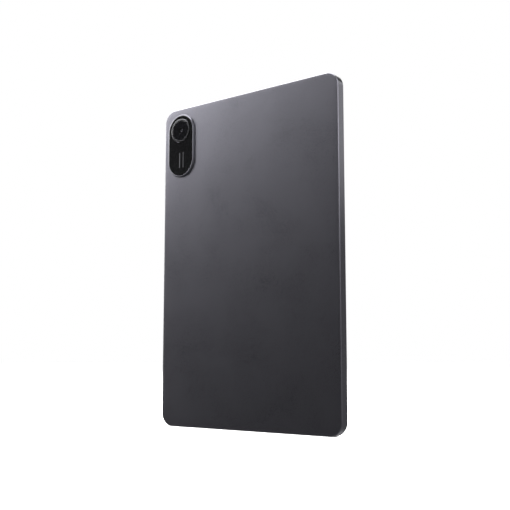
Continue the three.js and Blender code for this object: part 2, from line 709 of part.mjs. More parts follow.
const FRONT_MODULE = { width: 4.4, height: 6.6, depth: [1.45, 5.6], barrel: 1.6, barrelFront: 0.85 };
add(
  "front_camera",
  joined(
    block(
      around(FRONT_CAMERA.x, FRONT_MODULE.width),
      FRONT_MODULE.depth,
      around(FRONT_CAMERA.z, FRONT_MODULE.height),
    ),
    cylinder(FRONT_MODULE.barrel, "y", FRONT_MODULE.barrelFront, FRONT_MODULE.depth[0] + 0.1, frontCameraAt, 24),
  ),
  "blackMetal",
);
const SENSOR = { x: [77, 79], depth: [0.9, 1.7], z: [137, 140] };
add("light_sensor", block(SENSOR.x, SENSOR.depth, SENSOR.z), "chip");

// ---- Power key on the top edge, volume rocker on the right edge, their switches and flex ----

const keyDepth = around(FEATURE_DEPTH, FLANGE_WIDTH);
const plungerDepth = around(FEATURE_DEPTH, 1.2);
const switchDepth = around(FEATURE_DEPTH, 1.6);
const keyEdge = bevelled(KEY_EDGE, KEY_EDGE, 2);
const PLUNGER_LENGTH = 2;
const SWITCH_LENGTH = 4;
const DOME_RADIUS = 0.6;

const POWER_SWITCH_Z = [249.6, 250.3];
const powerCap = capsule(POWER_LENGTH, KEY_WIDTH, POWER_X, FEATURE_DEPTH, "first");
const powerFlange = [WALL_TOP_Z - 1.5, WALL_TOP_Z - 0.5];
add(
  "power_button",
  joined(
    extruded(powerCap, "z", powerFlange[0] + 0.4, HEIGHT + KEY_PROUD, keyEdge),
    block(around(POWER_X, POWER_LENGTH + 2 * FLANGE_REACH), keyDepth, powerFlange),
    block(around(POWER_X, PLUNGER_LENGTH), plungerDepth, [powerFlange[0] - 0.6, powerFlange[0] + 0.1]),
  ),
  "anodised",
);
add(
  "power_switch",
  joined(
    block(around(POWER_X, SWITCH_LENGTH), switchDepth, POWER_SWITCH_Z),
    cylinder(
      DOME_RADIUS,
      "z",
      POWER_SWITCH_Z[1] - 0.1,
      POWER_SWITCH_Z[1] + 0.2,
      [POWER_X, FEATURE_DEPTH],
      12,
    ),
  ),
  "steel",
);

const VOLUME_SWITCH_X = [78.2, 78.95];
const volumeCap = capsule(VOLUME_LENGTH, KEY_WIDTH, FEATURE_DEPTH, VOLUME_Z);
const volumeFlange = [WALL_X - 1.3, WALL_X - 0.35];
const plungers = [-SWITCH_OFFSET, SWITCH_OFFSET].map((offset) =>
  block(
    [volumeFlange[0] - 0.5, volumeFlange[0] + 0.05],
    plungerDepth,
    around(VOLUME_Z + offset, PLUNGER_LENGTH),
  ),
);
add(
  "volume_rocker",
  joined(
    extruded(volumeCap, "x", volumeFlange[0] + 0.45, SIDE_X + KEY_PROUD, keyEdge),
    block(volumeFlange, keyDepth, around(VOLUME_Z, VOLUME_LENGTH + 2 * FLANGE_REACH)),
    ...plungers,
  ),
  "anodised",
);
for (const [name, offset] of [["up", SWITCH_OFFSET], ["down", -SWITCH_OFFSET]]) {
  const z = VOLUME_Z + offset;
  add(
    `volume_${name}_switch`,
    joined(
      block(VOLUME_SWITCH_X, switchDepth, around(z, SWITCH_LENGTH)),
      cylinder(DOME_RADIUS, "x", VOLUME_SWITCH_X[1] - 0.05, VOLUME_SWITCH_X[1] + 0.35, [FEATURE_DEPTH, z], 12),
    ),
    "steel",
  );
}

// The keys' flex as (x, z): under the power switch, round the corner, and down behind the volume switches.
const KEY_FLEX_THICKNESS = 0.25;
const keyFlexRoute = [
  [56, 249.25],
  [70.5, 249.25],
  [75.2, 246.2],
  [77.6, 241.5],
  [77.6, 204],
];
add("key_flex", layer(strip(keyFlexRoute, KEY_FLEX_THICKNESS), switchDepth), "flex");

// ---- Memory card tray, its reader, and the pin-operated ejector ----

const TRAY = { back: 62.5, width: 13.6, thickness: 1, z: TRAY_Z - 0.2 };
const CARD = { width: 11.2, border: 2, floor: FEATURE_DEPTH + 0.25 };
const trayCap = capsule(TRAY_LENGTH, KEY_WIDTH, FEATURE_DEPTH, TRAY_Z);
const trayDepth = around(FEATURE_DEPTH, TRAY.thickness);
add(
  "card_tray",
  without(
    joined(
      extruded(trayCap, "x", WALL_X - 0.3, SIDE_X - 0.04),
      block([TRAY.back, WALL_X - 0.1], trayDepth, around(TRAY.z, TRAY.width)),
    ),
    block([TRAY.back + CARD.border, WALL_X - 1.8], [3, CARD.floor], around(TRAY.z, CARD.width)),
    cylinder(PIN_HOLE_RADIUS, "x", ...RIGHT_WALL, [FEATURE_DEPTH, PIN_Z], 12),
  ),
  "anodised",
);

const EJECTOR_THICKNESS = 0.8;
const ROD = { x: [61.25, 80.2], width: 1 };
const LEVER = { x: 60.55, z: 46.5, width: 0.9, ends: [39.6, 54.8], hub: 1.1, bore: 0.55, pin: 0.45 };
const leverAt = [LEVER.x, LEVER.z];
const ejectorDepth = around(FEATURE_DEPTH, EJECTOR_THICKNESS);
const throughLever = [ejectorDepth[0] - PAST, ejectorDepth[1] + PAST];
add("eject_rod", block(ROD.x, ejectorDepth, around(PIN_Z, ROD.width)), "steel");
add(
  "eject_lever",
  without(
    joined(
      block(around(LEVER.x, LEVER.width), ejectorDepth, LEVER.ends),
      cylinder(LEVER.hub, "y", ...ejectorDepth, leverAt, 20),
    ),
    cylinder(LEVER.bore, "y", ...throughLever, leverAt, 12),
  ),
  "steel",
);

// The reader is a lid of sheet over the tray's path, open towards the side wall, with the lever's pin in it.
const READER = { x: [57.7, 79.9], depth: [3.2, 5.34], z: [38.1, 55.9], sheet: 0.3, lid: 0.25 };
add(
  "card_reader",
  joined(
    without(
      block(READER.x, READER.depth, READER.z),
      block(
        [READER.x[0] + READER.sheet, READER.x[1] + PAST],
        [READER.depth[0] + READER.lid, READER.depth[1] - READER.lid],
        [READER.z[0] + READER.sheet, READER.z[1] - READER.sheet],
      ),
    ),
    cylinder(LEVER.pin, "y", READER.depth[0] + 0.1, READER.depth[1] - 0.1, leverAt, 12),
  ),
  "steel",
);

export default tablet;
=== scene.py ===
# The looks of the tablet computer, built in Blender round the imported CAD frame.
#
# Everything is in metres, in the CAD frame: +X to the right seen from the screen side, +Y out of the metal
# back, and +Z up. Depth is counted from the front of the glass towards the back, in millimetres.

import json
import math

import bmesh
import bpy
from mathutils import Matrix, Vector


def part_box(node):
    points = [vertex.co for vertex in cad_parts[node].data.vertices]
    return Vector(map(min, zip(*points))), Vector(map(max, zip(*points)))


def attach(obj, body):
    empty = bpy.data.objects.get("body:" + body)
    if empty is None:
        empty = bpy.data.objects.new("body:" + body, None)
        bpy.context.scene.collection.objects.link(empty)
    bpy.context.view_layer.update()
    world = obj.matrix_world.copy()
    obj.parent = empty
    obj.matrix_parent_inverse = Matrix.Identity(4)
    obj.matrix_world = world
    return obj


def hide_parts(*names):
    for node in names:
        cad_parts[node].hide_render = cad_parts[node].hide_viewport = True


MM = 0.001
MAIN = "tablet_body"

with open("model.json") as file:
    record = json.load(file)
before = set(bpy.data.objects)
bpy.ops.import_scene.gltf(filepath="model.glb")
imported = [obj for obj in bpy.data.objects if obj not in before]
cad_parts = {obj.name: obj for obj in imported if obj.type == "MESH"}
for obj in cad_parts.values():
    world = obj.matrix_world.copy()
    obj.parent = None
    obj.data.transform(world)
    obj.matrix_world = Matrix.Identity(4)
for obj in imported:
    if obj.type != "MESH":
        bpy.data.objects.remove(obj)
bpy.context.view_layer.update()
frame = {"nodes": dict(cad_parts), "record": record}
nodes = frame["nodes"]

# ---- Sizes, taken from the frame ----

SHELL_LOW, SHELL_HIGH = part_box("unibody_shell")
FRONT_Y = SHELL_LOW.y
CENTRE_Z = (SHELL_LOW.z + SHELL_HIGH.z) / 2
WIDTH = (SHELL_HIGH.x - SHELL_LOW.x) / MM
HEIGHT = (SHELL_HIGH.z - SHELL_LOW.z) / MM
THICKNESS = (SHELL_HIGH.y - SHELL_LOW.y) / MM
TOP_Z = SHELL_HIGH.z / MM
SIDE_X = SHELL_HIGH.x / MM


def depth_of(node):
    """A node's lowest and highest depth, in mm."""
    low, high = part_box(node)
    return (low.y - FRONT_Y) / MM, (high.y - FRONT_Y) / MM


def middle_of(node):
    """A node's middle as (x, depth, z), in mm."""
    low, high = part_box(node)
    centre = (low + high) / 2
    return centre.x / MM, (centre.y - FRONT_Y) / MM, centre.z / MM


def size_of(node):
    """A node's size along x, depth and z, in mm."""
    low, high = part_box(node)
    return (high - low) / MM


# Shared sizes of the body, in mm.
CORNER_RADIUS = 10.0
SIDE_WALL = 1.6
BACK_WALL = 0.8
EDGE_DROP = 0.55
FRAME_STEP = 0.8
FRAME_FLOOR = 1.3  # depth of the shelf behind the front frame
WINDOW_INSET = 3.0  # how far in from the island's outline the shell is cut open behind it
ISLAND_RIM = 1.15
LENS_HOLE = 6.2  # radius of the hole in the island's floor, for the rear camera
RING_BORE = 6.5
KEY_WIDTH = 2.2
KEY_GAP = 0.2
KEY_ROUND = 0.25
USB_GAP = 0.18
CUT_REACH = 3.0  # how far a side's cutters run inwards
FLANGE_REACH = 1.5  # how far a key's flange runs past each end of its cap
FLANGE_WIDTH = 2.3
MIC_RADIUS = 0.45
PIN_RADIUS = 0.45
GRILLE_SLOTS = 6
GRILLE_PITCH = 3.7
GRILLE_SLOT = (2.6, 1.2)
LENS = middle_of("lens_ring")
LENS_RING_RADIUS = size_of("lens_ring").x / 2
MOUTH = middle_of("usb_c_shell")[1]  # the depth of every slot's middle
POWER_LENGTH = size_of("power_button").x - 2 * FLANGE_REACH
VOLUME_LENGTH = size_of("volume_rocker").z - 2 * FLANGE_REACH
TRAY_LENGTH = size_of("card_tray").z

# ---- Outlines, as lists of 2D points ----


def arc(cx, cy, radius, start, end, steps):
    turn = [start + (end - start) * i / steps for i in range(steps + 1)]
    return [(cx + radius * math.cos(a), cy + radius * math.sin(a)) for a in turn]


def quarter_turn(steps):
    """The angles of a quarter turn, from 0."""
    return [math.pi / 2 * i / steps for i in range(steps + 1)]


def rounding(inset, level, radius, steps):
    """A quarter round from (inset, level - radius) to (inset + radius, level)."""
    turn = quarter_turn(steps)
    return [(inset + radius * (1 - math.cos(a)), level - radius * (1 - math.sin(a))) for a in turn]


def rounded_rectangle(width, height, radius, cx=0.0, cy=0.0, steps=20, lead=0.6):
    """Counter-clockwise, with an extra point just past each end of each corner's arc."""
    dx, dy = width / 2 - radius, height / 2 - radius
    right_angle = math.pi / 2
    points = []
    for i, (sx, sy) in enumerate(((1, -1), (1, 1), (-1, 1), (-1, -1))):
        start = (i - 1) * right_angle
        corner = arc(cx + sx * dx, cy + sy * dy, radius, start, start + right_angle, steps)
        (x0, y0), (x1, y1) = corner[0], corner[-1]
        enter, leave = start + right_angle, start + 2 * right_angle
        points.append((x0 - lead * math.cos(enter), y0 - lead * math.sin(enter)))
        points += corner
        points.append((x1 + lead * math.cos(leave), y1 + lead * math.sin(leave)))
    return points


def capsule(length, width, cx=0.0, cy=0.0, steps=24):
    """Counter-clockwise, long along the second axis."""
    radius, half = width / 2, length / 2 - width / 2
    top = arc(cx, cy + half, radius, 0, math.pi, steps)
    return top + arc(cx, cy - half, radius, math.pi, 2 * math.pi, steps)


def lying_capsule(length, width, cx=0.0, cy=0.0, steps=24):
    """Counter-clockwise, long along the first axis."""
    radius, half = width / 2, length / 2 - width / 2
    right = arc(cx + half, cy, radius, -math.pi / 2, math.pi / 2, steps)
    return right + arc(cx - half, cy, radius, math.pi / 2, 3 * math.pi / 2, steps)


def circle(radius, cx=0.0, cy=0.0, steps=64):
    return arc(cx, cy, radius, 0, 2 * math.pi, steps)[:-1]


# ---- Where an outline's points lie in space ----


def on_depth(points, depth):
    """Points (x, z) in mm at a depth."""
    return [Vector((x * MM, FRONT_Y + depth * MM, z * MM)) for x, z in points]


def on_height(points, z):
    """Points (x, depth) in mm at a height."""
    return [Vector((x * MM, FRONT_Y + depth * MM, z * MM)) for x, depth in points]


def on_side(points, x):
    """Points (depth, z) in mm at an x."""
    return [Vector((x * MM, FRONT_Y + depth * MM, z * MM)) for depth, z in points]


# ---- Meshes ----


def new_object(name, bm):
    bmesh.ops.recalc_face_normals(bm, faces=bm.faces)
    mesh = bpy.data.meshes.new(name)
    bm.to_mesh(mesh)
    bm.free()
    piece = bpy.data.objects.new(name, mesh)
    bpy.context.scene.collection.objects.link(piece)
    return piece


def add_loft(bm, loops, closed=False):
    """A skin over loops of as many points each, with its two ends capped unless it closes on itself."""
    rings = [[bm.verts.new(p) for p in loop] for loop in loops]
    pairs = list(zip(rings, rings[1:])) + ([(rings[-1], rings[0])] if closed else [])
    count = len(rings[0])
    for low, high in pairs:
        for i in range(count):
            j = (i + 1) % count
            bm.faces.new((low[i], low[j], high[j], high[i]))
    if not closed:
        bm.faces.new(rings[0])
        bm.faces.new(rings[-1])


def loft(name, loops, closed=False):
    bm = bmesh.new()
    add_loft(bm, loops, closed)
    return new_object(name, bm)


def turned(name, profile, x, z, steps=64, closed=False):
    """A piece turned on an axis along the depth, from (radius, depth)."""
    return loft(name, [on_depth(circle(r, x, z, steps), d) for r, d in profile], closed)


def combine(piece, cutters, operation):
    """A boolean of a piece with other objects, which are used up."""
    bm = bmesh.new()
    for cutter in cutters:
        bm.from_mesh(cutter.data)
        bpy.data.objects.remove(cutter)
    tool = new_object(piece.name + "_tool", bm)
    modifier = piece.modifiers.new("cut", "BOOLEAN")
    modifier.operation = operation
    modifier.solver = "EXACT"
    modifier.object = tool
    depsgraph = bpy.context.evaluated_depsgraph_get()
    made = bpy.data.meshes.new_from_object(piece.evaluated_get(depsgraph))
    old = piece.data
    piece.modifiers.clear()
    piece.data = made
    bpy.data.meshes.remove(old)
    bpy.data.objects.remove(tool)


def cut(piece, *cutters):
    combine(piece, cutters, "DIFFERENCE")


def join(piece, *parts):
    combine(piece, parts, "UNION")


def smooth(piece, angle):
    """Shades a piece smooth, except at edges sharper than an angle in degrees."""
    mesh = piece.data
    mesh.polygons.foreach_set("use_smooth", [True] * len(mesh.polygons))
    mesh.set_sharp_from_angle(angle=math.radians(angle))


def finished(piece, material, body=MAIN, stands_for=(), angle=30):
    """Shades a piece, gives it its material and slot, and hangs it on its body."""
    smooth(piece, angle)
    piece.data.materials.clear()
    piece.data.materials.append(material)
    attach(piece, body)
    if stands_for:
        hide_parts(*stands_for)


# ---- Materials ----


class Surface:
    """A Principled material whose nodes read places on the object, in metres."""

    def __init__(self, name, **sockets):
        self.material = bpy.data.materials.new(name)
        self.material.use_nodes = True
        self.tree = self.material.node_tree
        self.shader = self.tree.nodes["Principled BSDF"]
        for key, value in sockets.items():
            self.shader.inputs[key.replace("_", " ")].default_value = value
        self.place = self.node("ShaderNodeTexCoord").outputs["Object"]

    def node(self, kind, **settings):
        made = self.tree.nodes.new(kind)
        for key, value in settings.items():
            setattr(made, key, value)
        return made

    def link(self, output, target):
        self.tree.links.new(output, target)

    def scaled(self, x, y, z):
        """The place with each axis multiplied, for a pattern that is stretched."""
        mapping = self.node("ShaderNodeMapping")
        mapping.inputs["Scale"].default_value = (x, y, z)
        self.link(self.place, mapping.inputs["Vector"])
        return mapping.outputs["Vector"]

    def noise(self, scale, detail=3.0, place=None, roughness=0.5):
        made = self.node("ShaderNodeTexNoise")
        made.inputs["Scale"].default_value = scale
        made.inputs["Detail"].default_value = detail
        made.inputs["Roughness"].default_value = roughness
        self.link(place or self.place, made.inputs["Vector"])
        return made.outputs["Fac"]

    def ramp(self, value, low, high, start=0.3, end=0.7):
        """Maps a value between start and end to a number between low and high."""
        made = self.node("ShaderNodeMapRange")
        self.link(value, made.inputs["Value"])
        for key, number in zip(("From Min", "From Max", "To Min", "To Max"), (start, end, low, high)):
            made.inputs[key].default_value = number
        return made.outputs["Result"]

    def colours(self, value, low, high, start=0.3, end=0.7):
        """Maps a value between start and end to a colour between low and high."""
        made = self.node("ShaderNodeMix", data_type="RGBA")
        self.link(self.ramp(value, 0, 1, start, end), made.inputs["Factor"])
        made.inputs["A"].default_value = (*low, 1)
        made.inputs["B"].default_value = (*high, 1)
        return made.outputs["Result"]

    def math(self, operation, *values):
        made = self.node("ShaderNodeMath", operation=operation)
        for socket, value in zip(made.inputs, values):
            if isinstance(value, (int, float)):
                socket.default_value = value
            else:
                self.link(value, socket)
        return made.outputs["Value"]

    def over(self, below, mask, colour):
        """Lays a colour over another where the mask is 1."""
        made = self.node("ShaderNodeMix", data_type="RGBA")
        self.link(mask, made.inputs["Factor"])
        self.link(below, made.inputs["A"])
        made.inputs["B"].default_value = (*colour, 1)
        return made.outputs["Result"]

    def box(self, axis, middle, half):
        """1 where a place on an axis, in metres, lies within half of a middle, both in mm."""
        away = self.math("ABSOLUTE", self.math("SUBTRACT", axis, middle * MM))
        return self.math("LESS_THAN", away, half * MM)

    def distance(self, x, z, middle_x, middle_z):
        """How far a place is from an axis along the depth, in metres."""
        dx = self.math("SUBTRACT", x, middle_x * MM)
        dz = self.math("SUBTRACT", z, middle_z * MM)
        squared = self.math("ADD", self.math("MULTIPLY", dx, dx), self.math("MULTIPLY", dz, dz))
        return self.math("SQRT", squared)

    def disc(self, away, radius, soft=0.05):
        """1 where a distance in metres is within a radius, with a soft edge just inside it, both in mm."""
        return self.ramp(away, 1.0, 0.0, (radius - soft) * MM, radius * MM)

    def axes(self):
        made = self.node("ShaderNodeSeparateXYZ")
        self.link(self.place, made.inputs["Vector"])
        return made.outputs["X"], made.outputs["Y"], made.outputs["Z"]

    def bump(self, height, distance, strength=1.0):
        made = self.node("ShaderNodeBump")
        made.inputs["Distance"].default_value = distance
        made.inputs["Strength"].default_value = strength
        self.link(height, made.inputs["Height"])
        self.link(made.outputs["Normal"], self.shader.inputs["Normal"])
        return self

    def to(self, output, socket):
        self.link(output, self.shader.inputs[socket])
        return self


def shade(colour, factor):
    """A colour made darker or brighter."""
    return tuple(c * factor for c in colour)


def anodised(name="anodised_metal", colour=(0.128, 0.126, 0.145), rough=0.30):
    """Bead-blasted and anodised aluminium: a fine even grain, with a slow drift in how matt it is."""
    s = Surface(name, Metallic=1.0)
    grain = s.noise(5200.0, detail=2.0)
    drift = s.noise(26.0, detail=3.0)
    s.to(s.colours(grain, shade(colour, 0.93), shade(colour, 1.07)), "Base Color")
    mixed = s.math("ADD", s.ramp(drift, -0.012, 0.012), s.ramp(grain, rough - 0.03, rough + 0.03))
    s.to(mixed, "Roughness")
    return s.bump(grain, 0.000003, 0.25).material


def cut_metal(name="polished_trim", colour=(0.15, 0.148, 0.168), rough=0.3):
    """Anodised aluminium cut bright, with faint tool lines."""
    s = Surface(name, Metallic=1.0)
    lines = s.noise(700.0, detail=2.0, place=s.scaled(1.0, 14.0, 1.0))
    s.to(s.colours(lines, shade(colour, 0.92), shade(colour, 1.08)), "Base Color")
    s.to(s.ramp(lines, rough - 0.04, rough + 0.05), "Roughness")
    return s.bump(lines, 0.000003, 0.25).material


def turned_metal(name, colour, rough, centre, pitch=0.0002):
    """Black anodised metal with fine turned rings round its axis, a pitch in metres apart."""
    s = Surface(name, Metallic=1.0)
    x, _, z = s.axes()
    radius = s.distance(x, z, centre[0], centre[2])
    rings = s.math("SINE", s.math("MULTIPLY", radius, 2 * math.pi / pitch))
    s.to(s.colours(rings, shade(colour, 0.8), shade(colour, 1.2), -1, 1), "Base Color")
    s.to(s.ramp(rings, rough - 0.03, rough + 0.03, -1, 1), "Roughness")
    return s.bump(rings, 0.000002, 0.4).material


def polished_glass(name, colour, rough=0.04):
    """Glass with black ink behind it, under a faint smear of handling."""
    s = Surface(name, IOR=1.52)
    smear = s.noise(32.0, detail=4.0, place=s.scaled(1.0, 1.0, 0.45), roughness=0.6)
    s.inked = s.colours(smear, shade(colour, 0.9), shade(colour, 1.15))
    s.to(s.inked, "Base Color")
    s.to(s.ramp(smear, rough, rough + 0.05), "Roughness")
    return s


# The two printed bars, in mm: each one's place beside the island's middle with half its width, how far
# below that middle they sit, and half their length.
BARS = ((0.9, 0.5), (-2.8, 0.35))
BARS_BELOW = 12.2
BARS_HALF_LENGTH = 6.2


def island_glass(name="black_glass"):
    """The island's black glass, with two plain bars printed below the lens."""
    s = polished_glass(name, (0.0018, 0.0018, 0.002))
    x, _, z = s.axes()
    island_x, _, island_z = middle_of("camera_island_rim")
    bars = s.math("MAXIMUM", *[s.box(x, island_x + beside, half) for beside, half in BARS])
    marks = s.math("MULTIPLY", bars, s.box(z, island_z - BARS_BELOW, BARS_HALF_LENGTH))
    return s.to(s.over(s.inked, marks, (0.038, 0.038, 0.041)), "Base Color").material


def screen_glass(name="cover_glass"):
    """The cover glass: inked edge, the dark panel behind the middle, and the front camera's window."""
    s = polished_glass(name, (0.0012, 0.0012, 0.0014))
    x, _, z = s.axes()
    panel, camera = size_of("backlight_unit"), middle_of("front_camera")
    active = s.math("MULTIPLY", s.box(x, 0.0, panel.x / 2 - 3.0), s.box(z, CENTRE_Z / MM, panel.z / 2 - 1.5))
    screen = s.over(s.inked, active, (0.0026, 0.0027, 0.0034))
    away = s.distance(x, z, camera[0], camera[2])
    seen = s.over(screen, s.disc(away, 1.6), (0.008, 0.008, 0.011))
    return s.to(s.over(seen, s.disc(away, 0.8, 0.1), (0.02, 0.026, 0.06)), "Base Color").material


def lens_glass(name="lens_glass"):
    """The camera's window: ink round a clear middle that the lens looks through."""
    s = polished_glass(name, (0.0015, 0.0015, 0.002), rough=0.02)
    x, _, z = s.axes()
    away = s.distance(x, z, LENS[0], LENS[2])
    clear = s.disc(away, 2.6)
    s.to(s.over(s.inked, clear, (0.12, 0.12, 0.135)), "Base Color")
    return s.to(clear, "Transmission Weight").material


def lens_element(name="lens_element"):
    """A lens whose coating takes most of its shine: blue in the middle, violet towards its rim."""
    s = Surface(name, IOR=1.5, Roughness=0.3, Specular_IOR_Level=0.2)
    x, _, z = s.axes()
    away = s.distance(x, z, LENS[0], LENS[2])
    tint = s.colours(away, (0.004, 0.01, 0.04), (0.05, 0.012, 0.06), 0.3 * MM, 1.8 * MM)
    return s.to(tint, "Base Color").material


def contact_tongue(name="contact_tongue", pitch=0.5):
    """Black plastic with a row of gold contacts on each face, a pitch in mm apart."""
    s = Surface(name)
    x, y, z = s.axes()
    row = s.math("GREATER_THAN", s.math("SINE", s.math("MULTIPLY", x, 2 * math.pi / (pitch * MM))), 0.0)
    depth = s.math("SUBTRACT", s.math("DIVIDE", y, MM), FRONT_Y / MM + MOUTH)
    face = s.math("GREATER_THAN", s.math("ABSOLUTE", depth), 0.33)
    gold = s.math("MULTIPLY", s.math("MULTIPLY", row, face), s.box(z, 3.3, 1.6))
    gold = s.math("MULTIPLY", gold, s.box(x, 0.0, 3.0))
    texture = s.noise(2600.0)
    plain = s.colours(texture, (0.012, 0.012, 0.013), (0.02, 0.02, 0.021))
    s.to(s.over(plain, gold, (0.75, 0.5, 0.18)), "Base Color")
    s.to(gold, "Metallic")
    return s.to(s.ramp(texture, 0.35, 0.45), "Roughness").material


def plastic(name, colour, rough, grain=2600.0, depth=0.000008):
    """Any plain surface that isn't metal, with a fine grain of a given depth in metres."""
    s = Surface(name)
    texture = s.noise(grain, detail=2.0)
    s.to(s.colours(texture, shade(colour, 0.85), shade(colour, 1.15)), "Base Color")
    s.to(s.ramp(texture, rough - 0.05, rough + 0.05), "Roughness")
    return s.bump(texture, depth, 0.5).material


def rolled_metal(name, colour, rough, stretch=(1.0, 1.0, 30.0)):
    """Sheet metal with the fine lines of rolling along it."""
    s = Surface(name, Metallic=1.0)
    lines = s.noise(300.0, detail=3.0, place=s.scaled(*stretch))
    s.to(s.colours(lines, shade(colour, 0.85), shade(colour, 1.12)), "Base Color")
    s.to(s.ramp(lines, rough - 0.08, rough + 0.08), "Roughness")
    return s.bump(lines, 0.000004, 0.3).material


def circuit_board(name="circuit_board"):
    """Green solder mask over fine copper tracks."""
    s = Surface(name, Coat_Weight=0.3)
    tracks = s.node("ShaderNodeTexBrick")
    tracks.inputs["Scale"].default_value = 900.0
    tracks.inputs["Mortar Size"].default_value = 0.03
    s.link(s.place, tracks.inputs["Vector"])
    mottle = s.noise(500.0)
    mask = s.math("ADD", s.math("MULTIPLY", tracks.outputs["Fac"], 0.6), s.math("MULTIPLY", mottle, 0.4))
    s.to(s.colours(mask, (0.004, 0.035, 0.022), (0.02, 0.11, 0.06), 0.1, 0.9), "Base Color")
    s.to(s.ramp(mottle, 0.35, 0.5), "Roughness")
    return s.bump(tracks.outputs["Fac"], 0.00002, 0.3).material


def pouch_foil(name="pouch_foil"):
    """The battery's laminated pouch, slightly wrinkled."""
    s = Surface(name, Metallic=0.6)
    wrinkles = s.noise(120.0, detail=5.0, roughness=0.6)
    s.to(s.colours(wrinkles, (0.02, 0.02, 0.022), (0.045, 0.045, 0.05)), "Base Color")
    s.to(s.ramp(wrinkles, 0.28, 0.42), "Roughness")
    return s.bump(wrinkles, 0.0001, 0.5).material


def flex_cable(name="flex_cable", pitch=0.0005):
    """Amber polyimide film over parallel copper tracks, a pitch in metres apart."""
    s = Surface(name, Coat_Weight=0.4)
    x, _, _ = s.axes()
    tracks = s.math("SINE", s.math("MULTIPLY", x, 2 * math.pi / pitch))
    s.to(s.colours(tracks, (0.16, 0.055, 0.008), (0.42, 0.17, 0.035), -0.4, 0.4), "Base Color")
    s.to(s.ramp(s.noise(400.0), 0.3, 0.42), "Roughness")
    return s.bump(tracks, 0.00001, 0.4).material


# The surface of each material slot.
SURFACES = {
    "anodised_metal": anodised(),
    "polished_trim": cut_metal(),
    "black_metal": turned_metal("black_metal", (0.076, 0.076, 0.08), 0.16, LENS),
    "black_glass": island_glass(),
    "cover_glass": screen_glass(),
    "lens_glass": lens_glass(),
    "black_plastic": plastic("black_plastic", (0.012, 0.012, 0.013), 0.5),
    "display_panel": plastic("display_panel", (0.004, 0.004, 0.006), 0.2, grain=4000.0, depth=0.000001),
    "backlight": plastic("backlight", (0.6, 0.6, 0.62), 0.35, grain=300.0, depth=0.00001),
    "plate_alloy": rolled_metal("plate_alloy", (0.42, 0.42, 0.43), 0.42),
    "steel": rolled_metal("steel", (0.5, 0.5, 0.51), 0.26, (30.0, 1.0, 1.0)),
    "circuit_board": circuit_board(),
    "chip": plastic("chip", (0.014, 0.014, 0.016), 0.45, grain=3000.0),
    "pouch_foil": pouch_foil(),
    "flex_cable": flex_cable(),
    "adhesive": plastic("adhesive", (0.014, 0.014, 0.014), 0.85, grain=1800.0, depth=0.00004),
    "graphite": plastic("graphite", (0.05, 0.05, 0.053), 0.5, grain=900.0),
    "speaker_mesh": rolled_metal("speaker_mesh", (0.03, 0.03, 0.032), 0.5, (20.0, 20.0, 1.0)),
}

# ---- The carried-over CAD nodes take their slot's surface ----

for row in frame["record"]["subparts"]:
    node = nodes[row["node"]]
    node.data.materials.clear()
    node.data.materials.append(SURFACES[row["material_slot"]])


# ---- Unibody shell ----


def body_loop(inset, depth):
    """The body's outline at a depth, drawn in by an inset."""
    radius = CORNER_RADIUS - inset
    outline = rounded_rectangle(WIDTH - 2 * inset, HEIGHT - 2 * inset, radius, 0, CENTRE_Z / MM)
    return on_depth(outline, depth)


def edge_profile():
    """The back's edge, from the side wall: a narrow chamfer, then a back that still rises a little."""
    return [
        (0.0, THICKNESS - EDGE_DROP - 0.02),
        (0.012, THICKNESS - EDGE_DROP + 0.01),
        (0.5, THICKNESS - 0.048),
        (0.53, THICKNESS - 0.034),
        (1.5, THICKNESS - 0.014),
        (3.0, THICKNESS - 0.002),
        (3.6, THICKNESS),
    ]


def shell_solid():
    """The shell before its openings are cut, from its inside, round its front edge, to its back."""
    inside = THICKNESS - BACK_WALL
    profile = [
        (SIDE_WALL + 3.0, inside),
        (SIDE_WALL, inside),
        (SIDE_WALL, FRAME_FLOOR),
        (FRAME_STEP, FRAME_FLOOR),
        (FRAME_STEP, 0.08),
        (FRAME_STEP - 0.08, 0.0),
        (0.22, 0.0),
        (0.06, 0.06),
        (0.0, 0.22),
        (0.0, 0.5),
        (0.0, THICKNESS - EDGE_DROP - 0.4),
    ]
    profile += edge_profile()
    profile += [(4.0, THICKNESS)]
    return loft("unibody_shell_finish", [body_loop(inset, depth) for inset, depth in profile])


def side_cutter(name, outline, place, surface, direction, flare=0.12):
    """A slot through a side wall whose mouth has a small chamfer. outline(grow) gives the slot's outline."""
    steps = [(-CUT_REACH, 0.0), (-flare, 0.0), (flare, 2 * flare)]
    loops = [place(outline(grow), surface + direction * out) for out, grow in steps]
    return loft(name, loops)


